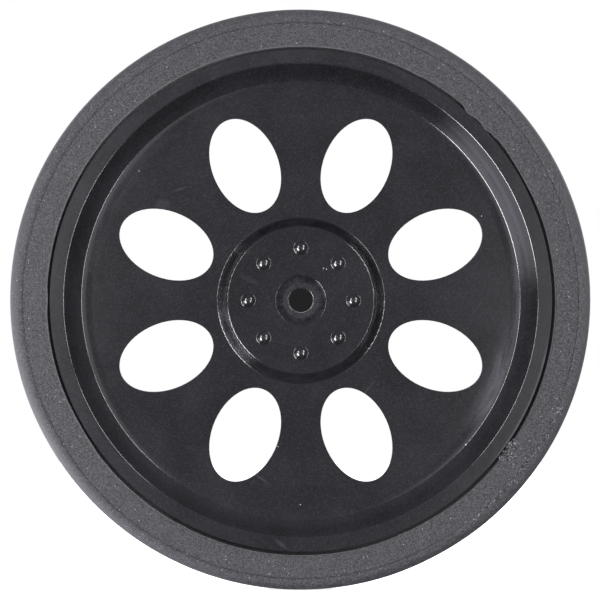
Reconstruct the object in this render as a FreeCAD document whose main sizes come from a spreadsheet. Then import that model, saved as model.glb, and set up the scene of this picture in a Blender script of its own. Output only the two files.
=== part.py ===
import FreeCAD, Part
import math
import os
import Sketcher

# A push-on wheel for a hobby servo: one moulded disc with a servo spline in its hub, and a rubber tyre.
# Millimetres. The wheel turns about Y, its outer face looks along -Y and the servo is on the +Y side.

document = FreeCAD.newDocument("servo_wheel")

# Driving dimensions. Radii are measured from the axle, and heights along the axle from the tyre's middle
# plane: "front" ones towards -Y, "rear" ones towards +Y.
driving = [
    ("tyre_tread_radius", 33.25, "over the crown of the tread"),
    ("tyre_corner_radius", 33.15, "tread at the tyre's sides, before the shoulders are rounded"),
    ("tyre_half_width", 4.0, "half of the width of the tyre"),
    ("tyre_bore_radius", 29.0, "tyre's inner edge, clear of the rim's lips"),
    ("tyre_shoulder_round", 1.35, "shoulder between tread and side"),
    ("tyre_edge_round", 0.12, "inner edge of the tyre's side"),
    ("seam_radius", 31.72, "mould line on each side of the tyre"),
    ("seam_half_width", 0.09, "half of the width of the mould line"),
    ("seam_depth", 0.08, "depth of the mould line"),
    ("rim_half_width", 3.7, "half of the width over the rim's lips"),
    ("lip_outer_radius", 28.68, "outside of the rim's lips"),
    ("lip_inner_radius", 27.05, "inner edge of the rim's lips"),
    ("groove_floor_radius", 27.1, "floor of the tyre's groove"),
    ("groove_top_half", 2.7, "half of the groove's width at the lips"),
    ("groove_floor_half", 1.8, "half of the groove's width at its floor"),
    ("slope_foot_radius", 25.06, "where the front slope of the rim meets the web"),
    ("slope_radius", 7.0, "hollow curve of the front slope"),
    ("rear_foot_radius", 24.6, "where the rear slope of the rim meets the web"),
    ("web_front", 2.15, "front face of the web"),
    ("web_rear", -0.25, "rear face of the web"),
    ("dish_start_radius", 23.86, "where the web starts to rise towards the rim"),
    ("dish_front", 2.22, "front face of the web at the foot of the slope"),
    ("dish_radius", 10.3, "curve of the rising part of the web"),
    ("hub_front", 3.4, "front face of the hub"),
    ("hub_top_radius", 8.45, "edge of the hub's front face"),
    ("hub_foot_radius", 9.46, "where the hub's slope meets the web"),
    ("boss_rear", 3.7, "rear face of the boss around the socket"),
    ("boss_foot_radius", 5.2, "boss where it leaves the web"),
    ("boss_top_radius", 5.0, "boss at its rear face, drawn in for the mould"),
    ("core_inner_radius", 5.7, "recess behind the raised hub, inner side of its floor"),
    ("core_outer_radius", 7.8, "recess behind the raised hub, outer side of its floor"),
    ("core_mouth_radius", 8.3, "recess behind the raised hub, outer side of its mouth"),
    ("core_front", 1.5, "floor of the recess behind the raised hub"),
    ("seat_radius", 2.86, "edge of the seat for the screw's head"),
    ("seat_floor_radius", 2.04, "flat floor of that seat"),
    ("seat_depth", 0.86, "depth of that seat"),
    ("seat_bowl", 20.0, "hollow curve of the seat's wall"),
    ("screw_radius", 1.4, "clearance hole for the horn screw"),
    ("socket_front", 0.2, "closed end of the spline socket"),
    ("spline_tip_radius", 2.7, "tips of the socket's teeth"),
    ("spline_root_radius", 2.98, "roots between the socket's teeth"),
    ("spline_tip_gap", 0.26, "half of the gap between teeth at their tips"),
    ("spline_root_gap", 0.12, "half of the gap between teeth at their roots"),
    ("spline_count", 25, "teeth in the socket"),
    ("lead_radius", 3.2, "mouth of the socket's lead-in"),
    ("oval_count", 8, "openings in the web"),
    ("oval_circle", 16.63, "centres of the openings"),
    ("oval_long", 5.59, "half of an opening's length, along the radius"),
    ("oval_short", 3.79, "half of an opening's width"),
    ("dome_count", 8, "domes on the hub's face"),
    ("dome_circle", 6.01, "centres of the domes"),
    ("dome_radius", 0.8, "foot of a dome"),
    ("dome_height", 0.33, "height of a dome"),
    ("dome_round", 0.16, "hollow round at the foot of a dome"),
    ("lip_round", 0.12, "outer edges of the rim's lips"),
    ("lip_inner_round", 0.3, "inner edges of the rim's lips"),
    ("foot_round", 0.35, "corner between the front slope and the web"),
    ("hub_round", 0.3, "edge of the hub's front face"),
    ("hub_foot_round", 0.3, "corner between the hub and the web"),
    ("seat_round", 0.12, "edges of the seat and of the screw hole"),
    ("boss_round", 0.3, "rear edge of the boss"),
    ("rear_round", 0.5, "corners on the rear of the disc"),
]

# Dimensions that follow from the driving ones.
derived = [
    ("rib_half", "groove_floor_half + (tyre_bore_radius - groove_floor_radius)"
                 " * (groove_top_half - groove_floor_half) / (lip_outer_radius - groove_floor_radius)"),
    ("crown_radius", "(tyre_half_width ^ 2 + (tyre_tread_radius - tyre_corner_radius) ^ 2)"
                     " / (2 * (tyre_tread_radius - tyre_corner_radius))"),
    ("seat_front", "hub_front - seat_depth"),
    ("above_hub", "hub_front + 1"),
    ("below_boss", "boss_rear + 1"),
    ("socket_depth", "boss_rear + socket_front"),
    ("lead_depth", "boss_rear - (lead_radius - spline_tip_radius)"),
    ("spline_start", "spline_tip_radius - 0.15"),
    ("core_mouth", "web_rear + 0.2"),
    ("dome_sphere", "(dome_radius ^ 2 + dome_height ^ 2) / (2 * dome_height)"),
    ("dome_centre", "dome_sphere - dome_height - hub_front"),
    ("seam_inner", "seam_radius - seam_half_width"),
    ("seam_outer", "seam_radius + seam_half_width"),
    ("seam_floor", "tyre_half_width - seam_depth"),
    ("beyond_tyre", "tyre_half_width + 0.2"),
    ("oval_turn", "180 / oval_count"),
]

sheet = document.addObject("Spreadsheet::Sheet", "dims")
for row, (alias, value, note) in enumerate(driving, 1):
    sheet.set(f"A{row}", note)
    sheet.set(f"B{row}", str(value))
    sheet.setAlias(f"B{row}", alias)
for row, (alias, formula) in enumerate(derived, len(driving) + 1):
    sheet.set(f"A{row}", "follows from the values above")
    sheet.set(f"B{row}", "=" + formula)
    sheet.setAlias(f"B{row}", alias)
document.recompute()


def amount(name):
    # The value of a dimension, negative where the name starts with a minus; "0" is the axle or middle plane.
    if name == "0":
        return 0.0
    if name.startswith("-"):
        return -float(sheet.get(name[1:]))
    return float(sheet.get(name))


def bound(name):
    return "-dims." + name[1:] if name.startswith("-") else "dims." + name


def origin_part(body, role):
    for feature in body.Origin.OriginFeatures:
        if feature.Role == role:
            return feature
    raise ValueError(role)


def new_sketch(body, name, role="XY_Plane"):
    sketch = body.newObject("Sketcher::SketchObject", name)
    sketch.AttachmentSupport = [(origin_part(body, role), "")]
    sketch.MapMode = "FlatFace"
    return sketch


def place_point(sketch, geometry, end, name, along):
    # Ties one coordinate of a point to a dimension.
    value = amount(name)
    if abs(value) < 1e-9:
        axis = -2 if along == "DistanceX" else -1
        sketch.addConstraint(Sketcher.Constraint("PointOnObject", geometry, end, axis))
        return
    if value < 0:
        index = sketch.addConstraint(Sketcher.Constraint(along, geometry, end, -1, 1, -value))
        name = name[1:] if name.startswith("-") else "-" + name
    else:
        index = sketch.addConstraint(Sketcher.Constraint(along, -1, 1, geometry, end, value))
    sketch.setExpression(f"Constraints[{index}]", bound(name))


def arc_between(start, end, radius, side):
    # The short arc from start to end, with its centre on the left of the way for side 1, on the right for -1.
    way = end - start
    middle = (start + end) * 0.5
    left = FreeCAD.Vector(-way.y, way.x, 0).normalize()
    centre = middle + left * side * math.sqrt(radius ** 2 - (way.Length / 2) ** 2)
    first = math.atan2(start.y - centre.y, start.x - centre.x)
    last = math.atan2(end.y - centre.y, end.x - centre.x)
    if side < 0:
        first, last = last, first
    return Part.ArcOfCircle(Part.Circle(centre, FreeCAD.Vector(0, 0, 1), radius), first, last)


def draw_profile(sketch, corners, arcs=None):
    # A closed outline through corners named by their dimensions. arcs gives, for the stretch that starts at
    # a corner, the radius and the side of the curve's centre.
    arcs = arcs or {}
    points = [FreeCAD.Vector(amount(x), amount(y), 0) for x, y in corners]
    ends = []
    for i, start in enumerate(points):
        end = points[(i + 1) % len(points)]
        if i in arcs:
            radius, side = arcs[i]
            sketch.addGeometry(arc_between(start, end, amount(radius), side))
            ends.append((1, 2) if side > 0 else (2, 1))
        else:
            sketch.addGeometry(Part.LineSegment(start, end))
            ends.append((1, 2))
    for i in range(len(points)):
        after = (i + 1) % len(points)
        sketch.addConstraint(Sketcher.Constraint("Coincident", i, ends[i][1], after, ends[after][0]))
    for i, (x, y) in enumerate(corners):
        place_point(sketch, i, ends[i][0], x, "DistanceX")
        place_point(sketch, i, ends[i][0], y, "DistanceY")
    for i, (radius, side) in arcs.items():
        index = sketch.addConstraint(Sketcher.Constraint("Radius", i, amount(radius)))
        sketch.setExpression(f"Constraints[{index}]", bound(radius))


def turned(body, name, kind, corners, arcs=None):
    # A section turned about the axle, added as a Revolution or cut as a Groove.
    sketch = new_sketch(body, name + "_section")
    draw_profile(sketch, corners, arcs)
    feature = body.newObject(kind, name)
    feature.Profile = sketch
    feature.ReferenceAxis = (sketch, ["V_Axis"])
    feature.Angle = 360
    sketch.Visibility = False
    document.recompute()
    return feature


def around_axle(body, name, original, count):
    pattern = body.newObject("PartDesign::PolarPattern", name)
    pattern.Originals = [original]
    pattern.Axis = (origin_part(body, "Y_Axis"), [""])
    pattern.Angle = 360
    pattern.setExpression("Occurrences", bound(count))
    body.Tip = pattern
    document.recompute()
    return pattern


def round_edges(body, name, radius, wanted):
    # Rounds the circular edges of the given radius and height, with the axle or a line beside it as centre.
    base = body.Tip
    names = []
    for i, edge in enumerate(base.Shape.Edges, 1):
        if not isinstance(edge.Curve, Part.Circle):
            continue
        for edge_radius, height in wanted:
            same_radius = abs(edge.Curve.Radius - amount(edge_radius)) < 0.005
            if same_radius and abs(edge.Curve.Center.y - amount(height)) < 0.005:
                names.append(f"Edge{i}")
    if len(names) < len(wanted):
        raise ValueError(f"{name}: found {len(names)} of {len(wanted)} edges")
    fillet = body.newObject("PartDesign::Fillet", name)
    fillet.Base = (base, names)
    fillet.setExpression("Radius", bound(radius))
    document.recompute()
    return fillet


def must_change(body, before, sign, name):
    # Stops the build if a feature was added where it should cut, or the other way round.
    change = body.Shape.Volume - before
    print(f"{name}: {change:+.2f} mm3")
    if change * sign <= 0:
        raise ValueError(f"{name} went the wrong way")


# The moulded disc.
wheel = document.addObject("PartDesign::Body", "wheel")
wheel.Label = "wheel"

# Rim and web: the web rises a little towards the rim, a hollow slope runs up to the flat front lip, and
# the outside is grooved for the tyre's rib.
turned(wheel, "rim_and_web", "PartDesign::Revolution", [
    ("0", "-web_front"),
    ("dish_start_radius", "-web_front"),
    ("slope_foot_radius", "-dish_front"),
    ("lip_inner_radius", "-rim_half_width"),
    ("lip_outer_radius", "-rim_half_width"),
    ("lip_outer_radius", "-groove_top_half"),
    ("groove_floor_radius", "-groove_floor_half"),
    ("groove_floor_radius", "groove_floor_half"),
    ("lip_outer_radius", "groove_top_half"),
    ("lip_outer_radius", "rim_half_width"),
    ("lip_inner_radius", "rim_half_width"),
    ("rear_foot_radius", "web_rear"),
    ("0", "web_rear"),
], {1: ("dish_radius", -1), 2: ("slope_radius", -1)})

# Raised hub in front, and the boss that takes the servo's shaft behind.
turned(wheel, "hub", "PartDesign::Revolution", [
    ("0", "-hub_front"),
    ("hub_top_radius", "-hub_front"),
    ("hub_foot_radius", "-web_front"),
    ("boss_foot_radius", "web_rear"),
    ("boss_top_radius", "boss_rear"),
    ("0", "boss_rear"),
])

# The rear of the raised hub is cored out, so that the wall keeps its thickness.
volume = wheel.Shape.Volume
turned(wheel, "hub_core", "PartDesign::Groove", [
    ("boss_foot_radius", "core_mouth"),
    ("core_inner_radius", "-core_front"),
    ("core_outer_radius", "-core_front"),
    ("core_mouth_radius", "core_mouth"),
])
must_change(wheel, volume, -1, "hub_core")

# Bowl-shaped seat for the head of the horn screw, and the screw's clearance hole.
volume = wheel.Shape.Volume
turned(wheel, "screw_seat", "PartDesign::Groove", [
    ("0", "-above_hub"),
    ("seat_radius", "-above_hub"),
    ("seat_radius", "-hub_front"),
    ("seat_floor_radius", "-seat_front"),
    ("0", "-seat_front"),
], {2: ("seat_bowl", 1)})
must_change(wheel, volume, -1, "screw_seat")

volume = wheel.Shape.Volume
turned(wheel, "screw_hole", "PartDesign::Groove", [
    ("0", "-above_hub"),
    ("screw_radius", "-above_hub"),
    ("screw_radius", "below_boss"),
    ("0", "below_boss"),
])
must_change(wheel, volume, -1, "screw_hole")

# Servo socket: a bore with a lead-in, then the gaps between its teeth.
volume = wheel.Shape.Volume
turned(wheel, "socket_bore", "PartDesign::Groove", [
    ("0", "-socket_front"),
    ("spline_tip_radius", "-socket_front"),
    ("spline_tip_radius", "lead_depth"),
    ("lead_radius", "boss_rear"),
    ("lead_radius", "below_boss"),
    ("0", "below_boss"),
])
must_change(wheel, volume, -1, "socket_bore")

round_edges(wheel, "lip_edges", "lip_round", [
    ("lip_outer_radius", "-rim_half_width"),
    ("lip_outer_radius", "rim_half_width"),
])
round_edges(wheel, "lip_inner_edges", "lip_inner_round", [
    ("lip_inner_radius", "-rim_half_width"),
    ("lip_inner_radius", "rim_half_width"),
])
round_edges(wheel, "slope_foot", "foot_round", [("slope_foot_radius", "-dish_front")])
round_edges(wheel, "hub_edge", "hub_round", [("hub_top_radius", "-hub_front")])
round_edges(wheel, "hub_foot", "hub_foot_round", [("hub_foot_radius", "-web_front")])
round_edges(wheel, "seat_edges", "seat_round", [
    ("seat_radius", "-hub_front"),
    ("screw_radius", "-seat_front"),
])
round_edges(wheel, "boss_edge", "boss_round", [("boss_top_radius", "boss_rear")])
round_edges(wheel, "rear_corners", "rear_round", [("rear_foot_radius", "web_rear")])

volume = wheel.Shape.Volume
gap_sketch = new_sketch(wheel, "spline_gap_outline", "XZ_Plane")
gap_sketch.setExpression("AttachmentOffset.Base.z", "-dims.boss_rear")
draw_profile(gap_sketch, [
    ("spline_start", "-spline_tip_gap"),
    ("spline_root_radius", "-spline_root_gap"),
    ("spline_root_radius", "spline_root_gap"),
    ("spline_start", "spline_tip_gap"),
])
gap = wheel.newObject("PartDesign::Pocket", "spline_gap")
gap.Profile = gap_sketch
gap.Reversed = True
gap.setExpression("Length", "dims.socket_depth")
gap_sketch.Visibility = False
document.recompute()
around_axle(wheel, "spline", gap, "spline_count")
must_change(wheel, volume, -1, "spline")

# Oval openings through the web, long axis along the radius, half a step round from the horizontal.
volume = wheel.Shape.Volume
oval_sketch = new_sketch(wheel, "oval_outline", "XZ_Plane")
oval_sketch.setExpression("AttachmentOffset.Rotation.Angle", "dims.oval_turn")
oval_centre = FreeCAD.Vector(amount("oval_circle"), 0, 0)
oval_sketch.addGeometry(Part.Ellipse(
    oval_centre + FreeCAD.Vector(amount("oval_long"), 0, 0),
    oval_centre + FreeCAD.Vector(0, amount("oval_short"), 0),
    oval_centre,
))
oval_sketch.exposeInternalGeometry(0)
place_point(oval_sketch, 0, 3, "oval_circle", "DistanceX")
place_point(oval_sketch, 0, 3, "0", "DistanceY")
oval_sketch.addConstraint(Sketcher.Constraint("Horizontal", 1))
for line, half in ((1, "oval_long"), (2, "oval_short")):
    index = oval_sketch.addConstraint(Sketcher.Constraint("Distance", line, 2 * amount(half)))
    oval_sketch.setExpression(f"Constraints[{index}]", f"2 * dims.{half}")
oval = wheel.newObject("PartDesign::Pocket", "oval")
oval.Profile = oval_sketch
oval.Type = "ThroughAll"
oval.SideType = "Symmetric"
oval_sketch.Visibility = False
document.recompute()
around_axle(wheel, "ovals", oval, "oval_count")
must_change(wheel, volume, -1, "ovals")

# Small domes around the hub's face.
volume = wheel.Shape.Volume
dome = wheel.newObject("PartDesign::AdditiveSphere", "dome")
dome.setExpression("Radius", "dims.dome_sphere")
dome.setExpression("Placement.Base.x", "dims.dome_circle")
dome.setExpression("Placement.Base.y", "dims.dome_centre")
document.recompute()
around_axle(wheel, "domes", dome, "dome_count")
must_change(wheel, volume, 1, "domes")
round_edges(wheel, "dome_feet", "dome_round", [("dome_radius", "-hub_front")])

# The tyre: a plain ring with rounded shoulders and a rib that sits in the rim's groove.
tyre = document.addObject("PartDesign::Body", "tyre")
tyre.Label = "tyre"
turned(tyre, "ring", "PartDesign::Revolution", [
    ("tyre_bore_radius", "-tyre_half_width"),
    ("tyre_corner_radius", "-tyre_half_width"),
    ("tyre_corner_radius", "tyre_half_width"),
    ("tyre_bore_radius", "tyre_half_width"),
    ("tyre_bore_radius", "rib_half"),
    ("groove_floor_radius", "groove_floor_half"),
    ("groove_floor_radius", "-groove_floor_half"),
    ("tyre_bore_radius", "-rib_half"),
], {1: ("crown_radius", 1)})
round_edges(tyre, "shoulders", "tyre_shoulder_round", [
    ("tyre_corner_radius", "-tyre_half_width"),
    ("tyre_corner_radius", "tyre_half_width"),
])
round_edges(tyre, "inner_edges", "tyre_edge_round", [
    ("tyre_bore_radius", "-tyre_half_width"),
    ("tyre_bore_radius", "tyre_half_width"),
])

# A fine mould line runs round each side, just inside the shoulder.
volume = tyre.Shape.Volume
for side, sign in (("front", "-"), ("rear", "")):
    turned(tyre, f"seam_{side}", "PartDesign::Groove", [
        ("seam_inner", sign + "beyond_tyre"),
        ("seam_inner", sign + "tyre_half_width"),
        ("seam_radius", sign + "seam_floor"),
        ("seam_outer", sign + "tyre_half_width"),
        ("seam_outer", sign + "beyond_tyre"),
    ])
must_change(tyre, volume, -1, "seams")

wheel.setExpression("Placement.Base.y", "0 * dims.tyre_half_width")
tyre.setExpression("Placement.Base.y", "0 * dims.tyre_half_width")
document.recompute()

for item in document.Objects:
    if "Invalid" in item.State or "Error" in item.State:
        raise ValueError(f"{item.Name}: {item.State}")

os.makedirs("parts", exist_ok=True)
for body in (wheel, tyre):
    shape = body.Shape
    if not shape.isValid() or len(shape.Solids) != 1:
        raise ValueError(f"{body.Label} isn't one valid solid")
    box = shape.optimalBoundingBox()
    print(f"{body.Label}: {shape.Volume:.1f} mm3, {len(shape.Faces)} faces, "
          f"x {box.XMin:.2f}..{box.XMax:.2f} y {box.YMin:.2f}..{box.YMax:.2f} z {box.ZMin:.2f}..{box.ZMax:.2f}")
    shape.exportStep(f"parts/{body.Label}.step")
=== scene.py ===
import bmesh
import bpy
import math
import random
from mathutils import Matrix, Vector


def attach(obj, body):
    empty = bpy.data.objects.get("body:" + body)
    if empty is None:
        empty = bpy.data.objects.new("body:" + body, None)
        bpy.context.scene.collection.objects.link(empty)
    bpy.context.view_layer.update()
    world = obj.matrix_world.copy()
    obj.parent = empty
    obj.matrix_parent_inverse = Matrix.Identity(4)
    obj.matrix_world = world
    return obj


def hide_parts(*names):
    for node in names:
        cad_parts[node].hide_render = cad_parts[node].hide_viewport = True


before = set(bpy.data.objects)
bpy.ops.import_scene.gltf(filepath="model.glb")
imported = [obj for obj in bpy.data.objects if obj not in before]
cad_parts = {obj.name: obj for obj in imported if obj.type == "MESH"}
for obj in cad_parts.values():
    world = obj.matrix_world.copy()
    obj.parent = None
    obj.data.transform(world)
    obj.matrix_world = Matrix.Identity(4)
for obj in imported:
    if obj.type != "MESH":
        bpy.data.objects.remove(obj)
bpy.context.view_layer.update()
mm = 0.001
nearly = 0.001 * mm  # points closer than this count as one


def linearColour(hexColour):  # sRGB hex to the linear colour that shaders want
    parts = [int(hexColour[i:i + 2], 16) / 255 for i in (1, 3, 5)]
    return tuple(c / 12.92 if c <= 0.04045 else ((c + 0.055) / 1.055) ** 2.4 for c in parts) + (1.0,)


def addNode(tree, kind, settings=None, sockets=None):  # with its settings, and values or links for sockets
    node = tree.nodes.new(kind)
    for name, value in (settings or {}).items():
        setattr(node, name, value)
    for name, value in (sockets or {}).items():
        if isinstance(value, bpy.types.NodeSocket):
            tree.links.new(value, node.inputs[name])
        else:
            node.inputs[name].default_value = value
    return node


def newMaterial(name):
    material = bpy.data.materials.new(name)
    material.use_nodes = True
    material.node_tree.nodes.clear()
    return material, material.node_tree


def dress(piece, material):
    piece.data.materials.clear()
    piece.data.materials.append(material)


def outward(around):  # unit vector from the axle, at degrees clockwise from the right in the camera's view
    turn = math.radians(around)
    return Vector((math.cos(turn), 0, -math.sin(turn)))


def offAxis(around, off):  # unit vector at degrees off the axle's front end, on the side that outward gives
    tilt = math.radians(off)
    return outward(around) * math.sin(tilt) + Vector((0, -math.cos(tilt), 0))


def radiusOf(point):  # distance from the axle
    return math.hypot(point.x, point.z)


def degreesOf(point):  # the degrees that outward takes, from 0 to 360
    return math.degrees(math.atan2(-point.z, point.x)) % 360


def pickPoints(piece, test):  # selects the points of the edited mesh that pass the test
    mesh = bmesh.from_edit_mesh(piece.data)
    for point in mesh.verts:
        point.select = bool(test(point.co))
    mesh.select_mode = {"VERT"}
    mesh.select_flush_mode()
    bmesh.update_edit_mesh(piece.data)


# The rubber tyre. Its section is drawn by extruding one point, rounded, and spun about the axle. The front
# inner edge was trimmed by hand: it has a fine raised burr, sits a little off centre and bulges over the lip
# in places. Tones above 0 make the rubber paler: along the burr, on torn crumbs, and as painted light on the
# side, the shoulder and most of the gap's wall. Tones below 0 are painted shade: in the gap beside the rim at
# the lower right, low on the side and on dark crumbs.
tyreForm = {
    "treadRadius": 33.17, "cornerRadius": 33.08, "sideHalf": 3.92, "boreRadius": 29.0, "wallTop": 3.72,
    "ribHalf": 2.882, "ribFloorHalf": 1.8, "ribFloorRadius": 27.1,
    "sideRings": (1.0, 1.8), "treadRings": (-1.6, 0.0, 1.6), "stepsAround": 720,
    "shoulderRound": 1.0, "shoulderSteps": 9, "smoothAngle": 50,
    "seamRadius": 31.72, "seamHalf": 0.08, "seamDepth": 0.075, "seamLand": 0.04,
    "seamTorn": (20, 56), "seamBand": 0.01,  # degrees where the mould line is torn away
    "burr": [(0.0, 3.86), (0.03, 3.94), (0.09, 3.95), (0.2, 3.88), (0.36, 3.92)],  # past the bore, forward
    "burrWidth": 0.14, "burrTone": 0.15,
    # painted shade in the gap at the lower right, painted light on the rest of its wall
    "gapShadeAndLight": [(0, 0.3), (14, 0.2), (34, -1.0), (106, -1.0), (124, 0.2), (360, 0.3)],  # degrees and tones
    # painted light on the side towards the left lamps, painted shade low down
    "sideShadeAndLight": [(0, 0.0), (40, 0.0), (75, -0.1), (105, 0.0), (150, 0.03), (190, 0.045), (220, 0.03),
                  (255, 0.006), (360, 0.0)],
    # painted light over the shoulder, strongest at the lower left, growing towards the tread
    "shoulderPaintedLight": [(0, 0.55), (40, 0.16), (95, 0.0), (120, 0.32), (150, 0.92), (180, 0.5), (210, 0.18),
                      (240, 0.16), (270, 0.26), (300, 0.37), (330, 0.5), (360, 0.55)],
    "offCentre": (0.04, -0.06), "treadOff": (-0.065, 0.065), "treadFrom": 31.9,
    "bulges": [(314.4, 0.2, 3.4), (311.7, 0.25, 1.1), (317.2, 0.2, 0.9), (319.6, 0.1, 0.6),
               (297, 0.07, 1.0), (180, 0.1, 1.6), (117.5, 0.05, 0.8), (142, -0.04, 1.2),
               (62, 0.08, 8.0), (150, 0.1, 7.0), (331, 0.1, 4.5)],  # degrees, how far inwards, reach
    "bulgeBand": 0.3, "bulgeSlice": 0.2,  # a bulge takes hold of the points this near its middle
}


def startPoint(name):  # nothing else selected, then a plane renamed, in edit mode, merged to one point
    bpy.ops.object.select_all(action="DESELECT")
    bpy.ops.mesh.primitive_plane_add(size=mm)
    piece = bpy.context.object
    piece.name = name
    piece.data.name = name
    bpy.ops.object.mode_set(mode="EDIT")
    bpy.ops.mesh.select_all(action="SELECT")
    bpy.ops.mesh.merge(type="CENTER")
    return piece


def drawSection(outline):  # the point is moved to the first corner, then extruded from corner to corner
    bpy.ops.transform.translate(value=(outline[0][0] * mm, outline[0][1] * mm, 0))
    for before, after in zip(outline, outline[1:]):
        way = ((after[0] - before[0]) * mm, (after[1] - before[1]) * mm, 0)
        bpy.ops.mesh.extrude_region_move(TRANSFORM_OT_translate={"value": way})
    bpy.ops.mesh.select_all(action="SELECT")
    bpy.ops.mesh.remove_doubles(threshold=nearly)


def spinTyre():
    form = tyreForm
    piece = startPoint("rubberTyre")
    bore, half, seam = form["boreRadius"], form["sideHalf"], form["seamRadius"]
    front = [(bore, -form["wallTop"])] + [(bore + r, -y) for r, y in form["burr"]]
    front += [(bore + r, -half) for r in form["sideRings"]]
    front += [(seam - form["seamHalf"] - form["seamLand"], -half), (seam - form["seamHalf"], -half)]
    front += [(seam, form["seamDepth"] - half), (seam + form["seamHalf"], -half)]
    front += [(form["cornerRadius"], -half)]
    tread = [(form["treadRadius"], y) for y in form["treadRings"]]
    rib = [(bore, form["ribHalf"]), (form["ribFloorRadius"], form["ribFloorHalf"]),
           (form["ribFloorRadius"], -form["ribFloorHalf"]), (bore, -form["ribHalf"])]
    drawSection(front + tread + [(r, -y) for r, y in reversed(front)] + rib + front[:1])
    corner = Vector((form["cornerRadius"] * mm, half * mm, 0))
    pickPoints(piece, lambda p: abs(p.x - corner.x) < nearly and abs(abs(p.y) - corner.y) < nearly)
    bpy.ops.mesh.bevel(offset=form["shoulderRound"] * mm, segments=form["shoulderSteps"], affect="VERTICES")
    bpy.ops.mesh.select_all(action="SELECT")
    bpy.ops.mesh.spin(steps=form["stepsAround"], angle=math.tau, center=(0, 0, 0), axis=(0, 1, 0))
    bpy.ops.mesh.select_all(action="SELECT")
    bpy.ops.mesh.remove_doubles(threshold=2 * nearly)  # the spin's end meets its start
    bpy.ops.mesh.normals_make_consistent(inside=False)
    return piece


def toneAt(tones, around):  # a tone between the nearest two of a list of degrees and tones
    for (start, before), (end, after) in zip(tones, tones[1:]):
        if start <= around <= end:
            return before + (after - before) * (around - start) / (end - start)


def markTones(piece):  # an attribute that the rubber reads: painted shade and light on the wall of the gap, the paler burr, then painted light and shade on the side and shoulder
    form = tyreForm
    bpy.ops.object.mode_set(mode="OBJECT")
    mark = piece.data.attributes.new("tone", "FLOAT", "POINT")
    bore, top = form["boreRadius"] * mm, form["wallTop"] * mm
    for point, value in zip(piece.data.vertices, mark.data):
        radius, around = radiusOf(point.co), degreesOf(point.co)
        if radius < bore + nearly and abs(point.co.y) < top + nearly:
            value.value = toneAt(form["gapShadeAndLight"], around)
        elif radius < bore + form["burrWidth"] * mm:
            value.value = form["burrTone"]
        else:
            past = (radius / mm - form["seamRadius"]) / (form["treadRadius"] - form["seamRadius"])
            shoulder = toneAt(form["shoulderPaintedLight"], around) * max(0, past) ** 2
            value.value = toneAt(form["sideShadeAndLight"], around) + shoulder
    bpy.ops.object.mode_set(mode="EDIT")


def wearTyre(piece):  # trimmed edge off centre, mould line torn away for a stretch, tread off centre, bulges
    form = tyreForm
    bore, seam = form["boreRadius"] * mm, form["seamRadius"] * mm
    edge = bore + form["burrWidth"] * mm
    top = nearly - form["wallTop"] * mm
    x, z = form["offCentre"]
    pickPoints(piece, lambda p: p.y < top and radiusOf(p) < edge)
    bpy.ops.transform.translate(value=(x * mm, 0, z * mm))
    first, last = form["seamTorn"]
    pickPoints(piece, lambda p: p.y < top and abs(radiusOf(p) - seam) < form["seamBand"] * mm
               and first < degreesOf(p) < last)
    bpy.ops.transform.translate(value=(0, -form["seamDepth"] * mm, 0))
    x, z = form["treadOff"]
    pickPoints(piece, lambda p: radiusOf(p) > form["treadFrom"] * mm)
    bpy.ops.transform.translate(value=(x * mm, 0, z * mm))
    for around, push, reach in form["bulges"]:
        way = outward(around)
        pickPoints(piece, lambda p: p.y < top and abs(radiusOf(p) - bore) < form["bulgeBand"] * mm
                   and abs(p.cross(way).y) < form["bulgeSlice"] * mm and p.dot(way) > 0)
        bpy.ops.transform.translate(value=-way * push * mm, use_proportional_edit=True,
                                    proportional_edit_falloff="SMOOTH", proportional_size=reach * mm)


# Torn rubber: one rough crumb, copied with its own mesh along the torn part of the mould line and in the
# frayed patch of the inner edge. Pale crumbs are torn rubber; dark ones, with tones below 0, are painted
# shadows among them.
crumbForm = {
    "radius": 0.5, "subdivisions": 2, "rough": 0.2, "high": 0.11, "seed": 11,
    "rows": [  # each from and to: degrees round the ring, radii, lengths, widths, tones; then how many
        ((22, 29), (31.7, 32.3), (0.12, 0.3), (0.1, 0.16), (0.3, 1), 22),
        ((22, 29), (31.6, 32.2), (0.14, 0.34), (0.1, 0.18), (-1, -0.6), 20),
        ((29, 42), (31.65, 32.0), (0.1, 0.26), (0.08, 0.14), (0.3, 1), 28),
        ((29, 42), (31.55, 31.95), (0.12, 0.4), (0.09, 0.16), (-1, -0.6), 32),
        ((43, 52), (31.5, 32.0), (0.1, 0.34), (0.08, 0.14), (0.3, 1), 22),
        ((43, 52), (31.5, 32.0), (0.12, 0.34), (0.09, 0.16), (-1, -0.6), 20),
        ((53, 115), (31.4, 32.0), (0.08, 0.2), (0.06, 0.12), (-0.3, 1), 40),
        ((300, 380), (31.6, 31.9), (0.08, 0.16), (0.05, 0.1), (-0.2, 1), 14),
        ((33, 38.6), (28.8, 29.3), (0.16, 0.5), (0.09, 0.16), (-0.6, 1), 46),
        ((33.4, 38.2), (29.2, 30.3), (0.14, 0.46), (0.08, 0.14), (0.2, 1), 26),
        ((33.2, 38.4), (28.9, 30.0), (0.14, 0.5), (0.08, 0.16), (-1, -0.7), 24),
        ((56, 80), (28.95, 29.15), (0.12, 0.3), (0.06, 0.1), (0.2, 0.8), 6),
    ],
}


def sideAt(radius):  # how far forward the tyre's side is at a radius: flat, then falling over the shoulder
    rounding = tyreForm["shoulderRound"]
    past = max(0, radius - (tyreForm["cornerRadius"] - rounding))
    return tyreForm["sideHalf"] - rounding + math.sqrt(rounding ** 2 - past ** 2)


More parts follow.
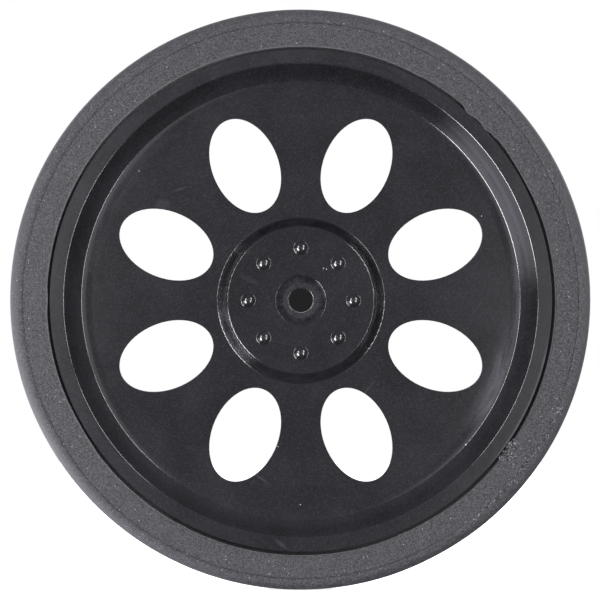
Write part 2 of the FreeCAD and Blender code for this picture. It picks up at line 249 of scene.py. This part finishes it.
def makeCrumbs(piece):
    bpy.ops.object.mode_set(mode="OBJECT")
    bpy.ops.object.select_all(action="DESELECT")
    bpy.ops.mesh.primitive_ico_sphere_add(subdivisions=crumbForm["subdivisions"], radius=crumbForm["radius"])
    crumb = bpy.context.object
    bpy.ops.object.mode_set(mode="EDIT")
    bpy.ops.mesh.select_all(action="SELECT")
    bpy.ops.transform.vertex_random(offset=crumbForm["rough"], seed=crumbForm["seed"])
    bpy.ops.object.mode_set(mode="OBJECT")
    crumb.data.attributes.new("tone", "FLOAT", "POINT")
    draw = random.Random(crumbForm["seed"])
    copies = []
    for turns, radii, lengths, widths, tones, count in crumbForm["rows"]:
        for k in range(count):
            around, radius = draw.uniform(*turns), draw.uniform(*radii)
            size = (draw.uniform(*lengths), crumbForm["high"], draw.uniform(*widths))
            place = outward(around) * radius * mm + Vector((0, -sideAt(radius) * mm, 0))
            turn = Matrix.Rotation(draw.uniform(0, math.tau), 4, "Y")
            copy = crumb.copy()
            copy.data = crumb.data.copy()
            tone = draw.uniform(*tones)
            for value in copy.data.attributes["tone"].data:
                value.value = tone
            scale = Matrix.Diagonal((*(s * mm for s in size), 1))
            copy.matrix_world = Matrix.Translation(place) @ turn @ scale
            bpy.context.scene.collection.objects.link(copy)
            copies.append(copy)
    bpy.data.objects.remove(crumb)
    for copy in copies:
        copy.select_set(True)
    piece.select_set(True)
    bpy.context.view_layer.objects.active = piece
    bpy.ops.object.join()


tyre = spinTyre()
markTones(tyre)
wearTyre(tyre)
makeCrumbs(tyre)
bpy.ops.object.shade_smooth_by_angle(angle=math.radians(tyreForm["smoothAngle"]))
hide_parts("tyre")
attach(tyre, "root")
print("tyre:", len(tyre.data.polygons), "faces")


def aboutAxle(tree, place):  # a place without its depth along the axle, and its distance from the axle
    flat = addNode(tree, "ShaderNodeVectorMath", {"operation": "MULTIPLY"}, {
        0: place, 1: (1, 0, 1)}).outputs["Vector"]
    return flat, addNode(tree, "ShaderNodeVectorMath", {"operation": "LENGTH"}, {0: flat}).outputs["Value"]


def keepBand(tree, shape, value, edges, blend):  # a shape kept where a value is within a band
    first, full, last, end = edges  # where the band starts, is full, is still full and ends
    for low, high in ((first, full), (end, last)):
        step = addNode(tree, "ShaderNodeMapRange", {"interpolation_type": blend}, {
            "Value": value, "From Min": low, "From Max": high})
        shape = addNode(tree, "ShaderNodeMath", {"operation": "MULTIPLY"}, {
            0: shape, 1: step.outputs["Result"]}).outputs["Value"]
    return shape


def dotMask(tree, place, dots):  # round dots with a soft edge, in a share of the cells of a pattern
    cells = addNode(tree, "ShaderNodeTexVoronoi", None, {
        "Vector": place, "Scale": 1 / (dots["size"] * mm)}).outputs
    radius = dots["radius"] / dots["size"]
    outer, inner = dots["edge"]
    dot = addNode(tree, "ShaderNodeMapRange", None, {
        "Value": cells["Distance"], "From Min": radius * outer, "From Max": radius * inner}).outputs["Result"]
    chance = addNode(tree, "ShaderNodeSeparateColor", None, {"Color": cells["Color"]}).outputs["Red"]
    chosen = addNode(tree, "ShaderNodeMapRange", None, {
        "Value": chance, "From Min": 1 - dots["share"], "From Max": 1.0}).outputs["Result"]
    return addNode(tree, "ShaderNodeMath", {"operation": "MULTIPLY"}, {0: dot, 1: chosen}).outputs["Value"]


allRound = (-400, -300, 300, 400)  # degrees of a smear that has no end

# Black ABS, injection moulded in a polished tool: a deep black body under a gloss that blurs a little, with a
# thin uneven film of dust, paler smears, hair scratches and a few bright specks. Some smears are painted
# highlights, reflections and light in the dust colour: on the web's lower right, the hub's slope and the lip.
absLook = {
    "colour": "#08080a", "dustAndSheen": "#505056", "speck": "#85858c", "ior": 1.54,
    "roughness": 0.11, "dustRoughness": 0.4,
    "film": {"size": 6.0, "detail": 5.0, "twist": 0.5, "levels": (0.36, 0.72), "most": 0.045},
    "grit": {"size": 0.11, "levels": (0.6, 1.0), "most": 0.085, "clean": (8.3, 8.45, 9.4, 9.55)},
    "streak": {"around": 6.0, "wide": 0.7, "detail": 3.0, "twist": 0.8, "levels": (0.3, 0.62), "least": 0.3},
    "smearsAndSheen": [  # radii, then degrees, at which each starts, is full, is still full and ends; its strength
        # painted reflection: a gleam on the web's lower right, near the rim's foot
        ((22.4, 24.5, 24.6, 25.0), (2, 20, 28, 40), 0.42),
        ((23.0, 24.8, 24.8, 25.2), (-180, -168, -140, -120), 0.1),
        ((23.6, 24.9, 24.9, 25.3), (-20, -8, 4, 12), 0.14),
        ((25.2, 26.0, 26.0, 26.6), (-46, -36, -18, -11), 0.14),
        ((1.0, 1.3, 2.1, 2.6), allRound, 0.1),
        ((1.9, 2.2, 2.6, 2.9), (-80, -40, 40, 80), 0.08),
        ((1.9, 2.2, 2.6, 2.9), (60, 100, 200, 210), 0.15),
        ((1.9, 2.2, 2.6, 2.9), (-210, -200, -100, -60), 0.15),
        # dust, and painted light: the hub's slope made paler all round for the light it reflects
        ((8.4, 8.6, 9.3, 9.5), allRound, 0.085),
        # painted reflection on the hub's slope at the lower left, where it faces the window
        ((8.4, 8.7, 9.2, 9.5), (122, 142, 166, 210), 0.12),
        # painted highlight along the lip's outer edge at the lower right
        ((28.4, 28.52, 28.64, 28.8), (6, 16, 34, 44), 0.4),
        # painted light: the lip's flat made paler at the left and top
        ((27.1, 27.4, 28.5, 28.7), (110, 150, 200, 210), 0.05),
        ((27.1, 27.4, 28.5, 28.7), (-210, -200, -70, -40), 0.04),
    ],
    "scuffs": [  # place across and up, degrees turned, half length and half width, strength
        ((-2.3, -27.8), 38, (1.2, 0.35), 0.13),
        ((-5.9, 2.4), 22, (1.8, 0.5), 0.05),
        ((-13.8, 12.7), -18, (1.6, 0.25), 0.08),
        ((-15.8, 11.0), 0, (1.3, 0.8), 0.08),
        ((-4.5, -20.4), 35, (1.8, 0.16), 0.14),
        ((7.6, -10.2), -50, (2.2, 0.16), 0.1),
    ],
    "scuffCore": 0.2,
    "scratches": [(35, 7.0, 0.16), (-52, 5.0, 0.15)],  # degrees turned, length, width
    "scratch": {"detail": 1.0, "levels": (0.74, 0.8), "most": 0.06},
    "specks": {"size": 2.6, "radius": 0.055, "share": 0.3, "edge": (1.5, 1.0)},
    "dustSpots": [(2.58, 3.66, 0.055), (2.92, 3.58, 0.05), (18.85, -16.5, 0.075)],  # across, up, radius
    "dustSpotEdge": 1.6,
    "peel": {"size": 1.6, "detail": 2.0, "depth": 0.002},
}


def absSmearsAndSheen(tree, place, radius):  # streaks in the dust colour that run round the axle: smears, and painted highlights, reflections and light
    values = absLook["streak"]
    parts = addNode(tree, "ShaderNodeSeparateXYZ", None, {0: place}).outputs
    down = addNode(tree, "ShaderNodeMath", {"operation": "MULTIPLY"}, {0: parts["Z"], 1: -1.0})
    turn = addNode(tree, "ShaderNodeMath", {"operation": "ARCTAN2"}, {
        0: down.outputs["Value"], 1: parts["X"]}).outputs["Value"]
    along = addNode(tree, "ShaderNodeMath", {"operation": "MULTIPLY"}, {0: turn, 1: values["around"]})
    across = addNode(tree, "ShaderNodeMath", {"operation": "DIVIDE"}, {0: radius, 1: values["wide"] * mm})
    ring = addNode(tree, "ShaderNodeCombineXYZ", None, {
        "X": along.outputs["Value"], "Y": across.outputs["Value"]})
    noise = addNode(tree, "ShaderNodeTexNoise", None, {
        "Vector": ring.outputs["Vector"], "Scale": 1.0, "Detail": values["detail"],
        "Distortion": values["twist"]})
    low, high = values["levels"]
    streak = addNode(tree, "ShaderNodeMapRange", None, {
        "Value": noise.outputs["Fac"], "From Min": low, "From Max": high, "To Min": values["least"]})
    layers = []
    for radii, degrees, most in absLook["smearsAndSheen"]:
        shape = keepBand(tree, streak.outputs["Result"], radius, [r * mm for r in radii], "SMOOTHSTEP")
        shape = keepBand(tree, shape, turn, [math.radians(a) for a in degrees], "SMOOTHSTEP")
        layers.append(addNode(tree, "ShaderNodeMath", {"operation": "MULTIPLY"}, {0: shape, 1: most}))
    return layers


def absFilm(tree, place, radius):  # a cloudy film and fine grit, with no grit in one ring on the hub
    film, grit = absLook["film"], absLook["grit"]
    cloud = addNode(tree, "ShaderNodeTexNoise", None, {
        "Vector": place, "Scale": 1 / (film["size"] * mm), "Detail": film["detail"],
        "Distortion": film["twist"]})
    bits = addNode(tree, "ShaderNodeTexVoronoi", None, {"Vector": place, "Scale": 1 / (grit["size"] * mm)})
    bits = addNode(tree, "ShaderNodeSeparateColor", None, {"Color": bits.outputs["Color"]}).outputs["Red"]
    clean = keepBand(tree, 1.0, radius, [r * mm for r in grit["clean"]], "LINEAR")
    bits = addNode(tree, "ShaderNodeMath", {"operation": "SUBTRACT"}, {0: bits, 1: clean}).outputs["Value"]
    layers = []
    for value, values in ((cloud.outputs["Fac"], film), (bits, grit)):
        low, high = values["levels"]
        layers.append(addNode(tree, "ShaderNodeMapRange", None, {
            "Value": value, "From Min": low, "From Max": high, "To Max": values["most"]}))
    return layers


def absScuffs(tree, place, flat):  # single rubbed places, then hair scratches that lie two ways
    layers = []
    for (x, z), turned, (length, width), most in absLook["scuffs"]:
        lay = addNode(tree, "ShaderNodeMapping", {"vector_type": "TEXTURE"}, {
            "Vector": flat, "Location": (x * mm, 0, z * mm), "Rotation": (0, math.radians(turned), 0),
            "Scale": (length * mm, mm, width * mm)})
        away = addNode(tree, "ShaderNodeVectorMath", {"operation": "LENGTH"}, {0: lay.outputs["Vector"]})
        layers.append(addNode(tree, "ShaderNodeMapRange", {"interpolation_type": "SMOOTHSTEP"}, {
            "Value": away.outputs["Value"], "From Min": 1.0, "From Max": absLook["scuffCore"],
            "To Max": most}))
    values = absLook["scratch"]
    low, high = values["levels"]
    for turned, length, width in absLook["scratches"]:
        lay = addNode(tree, "ShaderNodeMapping", {"vector_type": "TEXTURE"}, {
            "Vector": place, "Rotation": (0, math.radians(turned), 0),
            "Scale": (length * mm, length * mm, width * mm)})
        noise = addNode(tree, "ShaderNodeTexNoise", None, {
            "Vector": lay.outputs["Vector"], "Scale": 1.0, "Detail": values["detail"]})
        layers.append(addNode(tree, "ShaderNodeMapRange", None, {
            "Value": noise.outputs["Fac"], "From Min": low, "From Max": high, "To Max": values["most"]}))
    return layers


def absSpecks(tree, place, flat):  # scattered bright specks and a few at their own places
    specks = dotMask(tree, place, absLook["specks"])
    for x, z, radius in absLook["dustSpots"]:
        away = addNode(tree, "ShaderNodeVectorMath", {"operation": "DISTANCE"}, {
            0: flat, 1: (x * mm, 0, z * mm)})
        spot = addNode(tree, "ShaderNodeMapRange", None, {
            "Value": away.outputs["Value"], "From Min": radius * absLook["dustSpotEdge"] * mm,
            "From Max": radius * mm})
        specks = addNode(tree, "ShaderNodeMath", {"operation": "MAXIMUM"}, {
            0: specks, 1: spot.outputs["Result"]}).outputs["Value"]
    return specks


def makeAbs():
    look = absLook
    material, tree = newMaterial("ABS moulded black")
    place = addNode(tree, "ShaderNodeTexCoord").outputs["Object"]
    flat, radius = aboutAxle(tree, place)
    layers = absFilm(tree, place, radius) + absSmearsAndSheen(tree, place, radius) + absScuffs(tree, place, flat)
    # dust and painted sheen together: film, grit, smears with their painted highlights, scuffs and scratches
    dustAndSheen = layers[0].outputs[0]
    for layer in layers[1:]:
        dustAndSheen = addNode(tree, "ShaderNodeMath", {"operation": "ADD", "use_clamp": True}, {
            0: dustAndSheen, 1: layer.outputs[0]}).outputs["Value"]
    film = addNode(tree, "ShaderNodeMixRGB", None, {
        "Fac": dustAndSheen, "Color1": linearColour(look["colour"]), "Color2": linearColour(look["dustAndSheen"])})
    colour = addNode(tree, "ShaderNodeMixRGB", None, {
        "Fac": absSpecks(tree, place, flat), "Color1": film.outputs["Color"],
        "Color2": linearColour(look["speck"])})
    rough = addNode(tree, "ShaderNodeMapRange", None, {
        "Value": dustAndSheen, "To Min": look["roughness"], "To Max": look["dustRoughness"]})
    peel = addNode(tree, "ShaderNodeTexNoise", None, {
        "Vector": place, "Scale": 1 / (look["peel"]["size"] * mm), "Detail": look["peel"]["detail"]})
    bump = addNode(tree, "ShaderNodeBump", None, {
        "Distance": look["peel"]["depth"] * mm, "Height": peel.outputs["Fac"]})
    shader = addNode(tree, "ShaderNodeBsdfPrincipled", None, {
        "Base Color": colour.outputs["Color"], "Roughness": rough.outputs["Result"], "IOR": look["ior"],
        "Normal": bump.outputs["Normal"]})
    addNode(tree, "ShaderNodeOutputMaterial", None, {"Surface": shader.outputs["BSDF"]})
    return material


# Natural rubber, press moulded and dusty: matt grey with a fine open grain, a few dark pores and pale grains
# of dust; paler along the burr and where torn, and paler as painted light on the side and shoulder; black as
# painted shade in the gap beside the rim and on dark crumbs. The real grain is finer than a pixel; it is
# drawn at a tenth of a millimetre so that it shows.
rubberLook = {
    "dark": "#030304", "pale": "#333338", "tornAndPaintedLight": "#68686b", "paintedShade": "#0e0e11", "speck": "#7c7c82",
    "roughness": 0.75,
    "grain": {"size": 0.12, "detail": 2.0, "rough": 0.6, "cell": 0.1, "cellShare": 0.85,
              "levels": (0.23, 0.77), "depth": 0.035},
    "mottle": {"size": 3.0, "detail": 3.0, "share": 0.12},
    "pores": {"size": 0.9, "radius": 0.07, "share": 0.3, "edge": (1.5, 0.7)},
    "specks": {"size": 0.45, "radius": 0.055, "share": 0.4, "edge": (1.5, 0.7)},
}


def makeRubber():
    look, fine, broad = rubberLook, rubberLook["grain"], rubberLook["mottle"]
    material, tree = newMaterial("Rubber moulded matt")
    place = addNode(tree, "ShaderNodeTexCoord").outputs["Object"]
    grain = addNode(tree, "ShaderNodeTexNoise", None, {
        "Vector": place, "Scale": 1 / (fine["size"] * mm), "Detail": fine["detail"],
        "Roughness": fine["rough"]}).outputs["Fac"]
    cells = addNode(tree, "ShaderNodeTexVoronoi", None, {"Vector": place, "Scale": 1 / (fine["cell"] * mm)})
    cells = addNode(tree, "ShaderNodeSeparateColor", None, {"Color": cells.outputs["Color"]}).outputs["Red"]
    mottle = addNode(tree, "ShaderNodeTexNoise", None, {
        "Vector": place, "Scale": 1 / (broad["size"] * mm), "Detail": broad["detail"]}).outputs["Fac"]
    blend = addNode(tree, "ShaderNodeMix", None, {0: fine["cellShare"], 2: grain, 3: cells}).outputs[0]
    blend = addNode(tree, "ShaderNodeMix", None, {0: broad["share"], 2: blend, 3: mottle}).outputs[0]
    low, high = fine["levels"]
    blend = addNode(tree, "ShaderNodeMapRange", None, {"Value": blend, "From Min": low, "From Max": high})
    colour = addNode(tree, "ShaderNodeMixRGB", None, {
        "Fac": blend.outputs["Result"], "Color1": linearColour(look["dark"]),
        "Color2": linearColour(look["pale"])}).outputs["Color"]
    masks = {name: dotMask(tree, place, look[name]) for name in ("pores", "specks")}
    tone = addNode(tree, "ShaderNodeAttribute", {"attribute_name": "tone"}).outputs["Fac"]
    # tone above 0 is paler: torn rubber, the burr and painted light; tone below 0 is painted shade
    masks["tornAndPaintedLight"] = addNode(tree, "ShaderNodeMath", {"operation": "MAXIMUM"}, {
        0: tone, 1: 0.0}).outputs["Value"]
    masks["paintedShade"] = addNode(tree, "ShaderNodeMath", {"operation": "MULTIPLY", "use_clamp": True}, {
        0: tone, 1: -1.0}).outputs["Value"]
    for mask, shade in (("pores", "dark"), ("specks", "speck"), ("tornAndPaintedLight", "tornAndPaintedLight"), ("paintedShade", "paintedShade")):
        colour = addNode(tree, "ShaderNodeMixRGB", None, {
            "Fac": masks[mask], "Color1": colour, "Color2": linearColour(look[shade])}).outputs["Color"]
    height = addNode(tree, "ShaderNodeMath", {"operation": "SUBTRACT"}, {0: grain, 1: masks["pores"]})
    bump = addNode(tree, "ShaderNodeBump", None, {
        "Distance": fine["depth"] * mm, "Height": height.outputs["Value"]})
    shader = addNode(tree, "ShaderNodeBsdfPrincipled", None, {
        "Base Color": colour, "Roughness": look["roughness"], "Normal": bump.outputs["Normal"]})
    addNode(tree, "ShaderNodeOutputMaterial", None, {"Surface": shader.outputs["BSDF"]})
    return material


# The wheel keeps its own mesh. Its shading alone is evened, so that the small rounds carry unbroken
# highlights: the loose triangles are joined, parted again at sharp edges, each point's normal follows its
# largest faces, and points of one turned ring share one tilt. Rings are the stretches of the radius, in front
# of a depth, that hold nothing but turned surfaces. In the crisp one the lip faces straight forward.
shadingForm = {
    "join": 0.0005, "sharp": 34, "areaPower": 3, "ringStep": 0.02, "ringStride": 1000.0,
    "rings": [(7.9, 10.2, 0.0), (22.6, 27.4, 0.0)], "crisp": [(28.45, 28.75, -3.4)],
}


def faceNormal(tree):  # at each point, the normal of its faces, each weighed by a power of its area
    area = addNode(tree, "GeometryNodeInputMeshFaceArea").outputs["Area"]
    area = addNode(tree, "ShaderNodeMath", {"operation": "DIVIDE"}, {0: area, 1: mm ** 2}).outputs["Value"]
    weight = addNode(tree, "ShaderNodeMath", {"operation": "POWER"}, {0: area, 1: shadingForm["areaPower"]})
    normal = addNode(tree, "GeometryNodeInputNormal").outputs["Normal"]
    normal = addNode(tree, "ShaderNodeVectorMath", {"operation": "SCALE"}, {
        0: normal, "Scale": weight.outputs["Value"]}).outputs["Vector"]
    for domain in ("FACE", "POINT"):
        normal = addNode(tree, "GeometryNodeFieldOnDomain", {"domain": domain, "data_type": "FLOAT_VECTOR"}, {
            "Value": normal}).outputs["Value"]
    return addNode(tree, "ShaderNodeVectorMath", {"operation": "NORMALIZE"}, {0: normal}).outputs["Vector"]


def ringNormal(tree, normal, flat, radius, depth):  # the tilt that all points of one radius and depth share
    way = addNode(tree, "ShaderNodeVectorMath", {"operation": "NORMALIZE"}, {0: flat}).outputs["Vector"]
    lean = addNode(tree, "ShaderNodeVectorMath", {"operation": "DOT_PRODUCT"}, {
        0: normal, 1: way}).outputs["Value"]
    rise = addNode(tree, "ShaderNodeSeparateXYZ", None, {0: normal}).outputs["Y"]
    steps = []
    for value in (radius, depth):
        value = addNode(tree, "ShaderNodeMath", {"operation": "DIVIDE"}, {
            0: value, 1: shadingForm["ringStep"] * mm}).outputs["Value"]
        steps.append(addNode(tree, "ShaderNodeMath", {"operation": "ROUND"}, {0: value}).outputs["Value"])
    ring = addNode(tree, "ShaderNodeMath", {"operation": "MULTIPLY_ADD"}, {
        0: steps[0], 1: shadingForm["ringStride"], 2: steps[1]}).outputs["Value"]
    lean, rise = (addNode(tree, "GeometryNodeAccumulateField", {"data_type": "FLOAT", "domain": "POINT"}, {
        "Value": value, "Group ID": ring}).outputs["Total"] for value in (lean, rise))
    up = addNode(tree, "ShaderNodeCombineXYZ", None, {"Y": rise}).outputs["Vector"]
    out = addNode(tree, "ShaderNodeVectorMath", {"operation": "SCALE"}, {
        0: way, "Scale": lean}).outputs["Vector"]
    turned = addNode(tree, "ShaderNodeVectorMath", {"operation": "ADD"}, {0: out, 1: up}).outputs["Vector"]
    return addNode(tree, "ShaderNodeVectorMath", {"operation": "NORMALIZE"}, {0: turned}).outputs["Vector"]


def evenShading():
    form = shadingForm
    tree = bpy.data.node_groups.new("evenShading", "GeometryNodeTree")
    for side in ("INPUT", "OUTPUT"):
        tree.interface.new_socket("Mesh", in_out=side, socket_type="NodeSocketGeometry")
    joined = addNode(tree, "GeometryNodeMergeByDistance", None, {
        "Geometry": addNode(tree, "NodeGroupInput").outputs["Mesh"], "Distance": form["join"] * mm})
    angle = addNode(tree, "GeometryNodeInputMeshEdgeAngle").outputs["Unsigned Angle"]
    sharp = addNode(tree, "ShaderNodeMath", {"operation": "GREATER_THAN"}, {
        0: angle, 1: math.radians(form["sharp"])})
    parted = addNode(tree, "GeometryNodeSplitEdges", None, {
        "Mesh": joined.outputs["Geometry"], "Selection": sharp.outputs["Value"]})
    place = addNode(tree, "GeometryNodeInputPosition").outputs["Position"]
    depth = addNode(tree, "ShaderNodeSeparateXYZ", None, {0: place}).outputs["Y"]
    flat, radius = aboutAxle(tree, place)
    normal = faceNormal(tree)
    turned = ringNormal(tree, normal, flat, radius, depth)
    for stretches, follow in ((form["rings"], turned), (form["crisp"], (0, -1, 0))):
        for inner, outer, deepest in stretches:
            within = addNode(tree, "ShaderNodeMath", {"operation": "COMPARE"}, {
                0: radius, 1: (inner + outer) / 2 * mm, 2: (outer - inner) / 2 * mm})
            before = addNode(tree, "ShaderNodeMath", {"operation": "LESS_THAN"}, {0: depth, 1: deepest * mm})
            within = addNode(tree, "ShaderNodeMath", {"operation": "MULTIPLY"}, {
                0: within.outputs["Value"], 1: before.outputs["Value"]})
            normal = addNode(tree, "ShaderNodeMix", {"data_type": "VECTOR"}, {
                0: within.outputs["Value"], 4: normal, 5: follow}).outputs[1]
    shaded = addNode(tree, "GeometryNodeSetMeshNormal", {"mode": "FREE", "domain": "POINT"}, {
        "Mesh": parted.outputs["Mesh"], "Custom Normal": normal})
    addNode(tree, "NodeGroupOutput", None, {"Mesh": shaded.outputs["Mesh"]})
    return tree


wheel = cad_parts["wheel"]
dress(wheel, makeAbs())
shade = wheel.modifiers.new("evenShading", "NODES")
shade.node_group = evenShading()
dress(tyre, makeRubber())
print("materials done")

# Studio: a pale floor under the tyre, a soft room brighter in front, lamps left and right, and a long lens
# that looks almost straight along the axle
studio = {
    "floorRadius": 600, "floorSteps": 96, "floorColour": "#f4f4f4", "floorRough": 0.9, "floorGlow": 0.8,
    # the card paints the shade seen through the screw hole
    "cardFar": 6000, "cardRadius": 9.5, "cardSteps": 48, "cardGlow": 0.0165,
    "worldSeen": 1.0, "worldTint": (0.97, 0.97, 1.09),
    "worldFront": (0.1, -1.0, 0.0), "worldUp": (-0.06, 0.0, 0.42),
    "worldLevels": [(0.0, 0.85), (0.2, 1.3), (0.32, 1.1), (0.41, 0.42), (0.5, 0.25), (0.63, 0.22),
                    (0.76, 0.33), (0.9, 0.45), (1.0, 0.46)],  # from 0 behind to 1 in front
    "window": {"around": 152, "full": 13, "fade": 26, "levels": [
        (0, 0), (44, 0), (52, 2.1), (58, 1.9), (66, 1.2), (73, 2.1), (78, 1.55), (84, 0.95), (92, 0.7),
        (100, 2.0), (120, 2.0), (150, 0)]},  # by degrees off the axle's front end
    "cameraFar": 1200, "frameWidth": 68.69, "lookFrom": (-0.2, 0.5), "aim": (-0.09, 0.02),
    "sensorWidth": 36, "clip": (50, 20000),
}


def addDisc(name, radius, steps, place, turn):
    bpy.ops.object.select_all(action="DESELECT")
    bpy.ops.mesh.primitive_circle_add(vertices=steps, radius=radius * mm, fill_type="NGON",
                                      location=[c * mm for c in place], rotation=turn)
    disc = bpy.context.object
    disc.name = name
    return disc


def makeFloor():  # the camera sees it, but it lights nothing and casts no shadow
    under = tyreForm["treadOff"][1] - tyreForm["treadRadius"]
    floor = addDisc("studioFloor", studio["floorRadius"], studio["floorSteps"], (0, 0, under), (0, 0, 0))
    material, tree = newMaterial("Paper pale")
    shader = addNode(tree, "ShaderNodeBsdfPrincipled", None, {
        "Base Color": linearColour(studio["floorColour"]), "Roughness": studio["floorRough"],
        "Emission Color": (1, 1, 1, 1), "Emission Strength": studio["floorGlow"]})
    addNode(tree, "ShaderNodeOutputMaterial", None, {"Surface": shader.outputs["BSDF"]})
    dress(floor, material)
    floor.visible_glossy = False
    floor.visible_diffuse = False
    floor.visible_shadow = False


def makeShadeCard():  # a card of painted shade far behind the hub, seen through the screw hole alone; its faint glow sets how dark the hole is
    turn, rise = (math.radians(a) for a in studio["lookFrom"])
    far = studio["cardFar"]
    card = addDisc("paintedShadeCard", studio["cardRadius"], studio["cardSteps"],
                   (-math.tan(turn) * far, far, -math.tan(rise) * far), (math.pi / 2, 0, 0))
    material, tree = newMaterial("Painted shade card")
    shader = addNode(tree, "ShaderNodeEmission", None, {
        "Color": (1, 1, 1, 1), "Strength": studio["cardGlow"]})
    addNode(tree, "ShaderNodeOutputMaterial", None, {"Surface": shader.outputs["Emission"]})
    dress(card, material)


def makeWorld():  # white to the camera; as light, brighter in front, dim at the sides, a window at the left
    world = bpy.data.worlds.new("studioRoom")
    bpy.context.scene.world = world
    world.use_nodes = True
    tree = world.node_tree
    tree.nodes.clear()
    way = addNode(tree, "ShaderNodeTexCoord").outputs["Object"]
    front = Vector(studio["worldFront"]).normalized()
    facing = addNode(tree, "ShaderNodeVectorMath", {"operation": "DOT_PRODUCT"}, {0: way, 1: front})
    facing = addNode(tree, "ShaderNodeMath", {"operation": "MULTIPLY_ADD"}, {
        0: facing.outputs["Value"], 1: 0.5, 2: 0.5}).outputs["Value"]  # from 0 behind to 1 in front
    rise = addNode(tree, "ShaderNodeVectorMath", {"operation": "DOT_PRODUCT"}, {0: way, 1: studio["worldUp"]})
    rise = addNode(tree, "ShaderNodeMath", {"operation": "ADD"}, {
        0: rise.outputs["Value"], 1: 1.0}).outputs["Value"]
    window = studio["window"]
    ahead = addNode(tree, "ShaderNodeVectorMath", {"operation": "DOT_PRODUCT"}, {0: way, 1: (0, -1, 0)})
    off = addNode(tree, "ShaderNodeMath", {"operation": "ARCCOSINE"}, {0: ahead.outputs["Value"]})
    off = addNode(tree, "ShaderNodeMath", {"operation": "DIVIDE"}, {
        0: off.outputs["Value"], 1: math.pi}).outputs["Value"]
    flat = addNode(tree, "ShaderNodeVectorMath", {"operation": "MULTIPLY"}, {0: way, 1: (1, 0, 1)})
    flat = addNode(tree, "ShaderNodeVectorMath", {"operation": "NORMALIZE"}, {
        0: flat.outputs["Vector"]}).outputs["Vector"]
    aside = addNode(tree, "ShaderNodeVectorMath", {"operation": "DOT_PRODUCT"}, {
        0: flat, 1: outward(window["around"])}).outputs["Value"]
    aside = addNode(tree, "ShaderNodeMapRange", {"interpolation_type": "SMOOTHSTEP"}, {
        "Value": aside, "From Min": math.cos(math.radians(window["fade"])),
        "From Max": math.cos(math.radians(window["full"]))}).outputs["Result"]
    paneLevels = [(angle / 180, level) for angle, level in window["levels"]]
    lights = []
    for value, levels, share in ((facing, studio["worldLevels"], rise), (off, paneLevels, aside)):
        ramp = addNode(tree, "ShaderNodeValToRGB", None, {"Fac": value})
        stops = ramp.color_ramp.elements
        while len(stops) < len(levels):
            stops.new(0.5)  # its place is set below
        for stop, (position, level) in zip(stops, levels):
            stop.position = position
            stop.color = (*(level * c for c in studio["worldTint"]), 1)
        lights.append(addNode(tree, "ShaderNodeVectorMath", {"operation": "SCALE"}, {
            0: ramp.outputs["Color"], "Scale": share}).outputs["Vector"])
    both = addNode(tree, "ShaderNodeVectorMath", {"operation": "ADD"}, {0: lights[0], 1: lights[1]})
    light = addNode(tree, "ShaderNodeBackground", None, {"Color": both.outputs["Vector"]})
    seen = addNode(tree, "ShaderNodeBackground", None, {
        "Color": (1, 1, 1, 1), "Strength": studio["worldSeen"]})
    path = addNode(tree, "ShaderNodeLightPath")
    mix = addNode(tree, "ShaderNodeMixShader", None, {
        0: path.outputs["Is Camera Ray"], 1: light.outputs["Background"], 2: seen.outputs["Background"]})
    addNode(tree, "ShaderNodeOutputWorld", None, {"Surface": mix.outputs["Shader"]})


# Lamps by where they stand seen from the camera: degrees clockwise from the right, degrees off the lens axis,
# distance, width round the axis and width along the way to it in millimetres, and radiance
lamps = {
    "leftPanel": (188, 17.5, 320, 150, 133, 1.0),
    "rightPanel": (8, 17.5, 320, 150, 133, 0.95),
    "leftLow": (150, 37, 500, 230, 110, 43),
    "leftHigh": (200, 32, 500, 200, 66, 22),
    "rightHigh": (326, 38, 500, 160, 80, 18),
    "rightLow": (12, 30, 500, 230, 60, 23),
    "rearLeft": (205, 140, 500, 220, 220, 6),
    "rearRight": (335, 140, 500, 220, 220, 6),
}


def makeLamp(name, around, off, far, width, depth, radiance):
    way = offAxis(around, off)
    data = bpy.data.lights.new(name, "AREA")
    data.shape = "RECTANGLE"
    data.size, data.size_y = width * mm, depth * mm
    data.energy = radiance * math.pi * data.size * data.size_y
    lamp = bpy.data.objects.new(name, data)
    side = outward(around + 90)
    axes = Matrix((side, way.cross(side), way)).transposed()
    lamp.matrix_world = Matrix.Translation(way * far * mm) @ axes.to_4x4()
    lamp.visible_camera = False
    bpy.context.scene.collection.objects.link(lamp)


def makeCamera():
    turn, rise = (math.radians(a) for a in studio["lookFrom"])
    way = Vector((math.sin(turn) * math.cos(rise), -math.cos(turn) * math.cos(rise), math.sin(rise)))
    data = bpy.data.cameras.new("camera")
    data.sensor_width = studio["sensorWidth"]
    data.lens = data.sensor_width * studio["cameraFar"] / studio["frameWidth"]
    data.clip_start, data.clip_end = (c * mm for c in studio["clip"])
    camera = bpy.data.objects.new("camera", data)
    aim = Vector((studio["aim"][0] * mm, 0, studio["aim"][1] * mm))
    camera.location = aim + way * studio["cameraFar"] * mm
    camera.rotation_euler = (-way).to_track_quat("-Z", "Y").to_euler()
    bpy.context.scene.collection.objects.link(camera)
    bpy.context.scene.camera = camera


makeFloor()
makeShadeCard()
makeWorld()
for name, values in lamps.items():
    makeLamp(name, *values)
makeCamera()
bpy.context.scene.view_settings.view_transform = "Standard"
print("studio done")
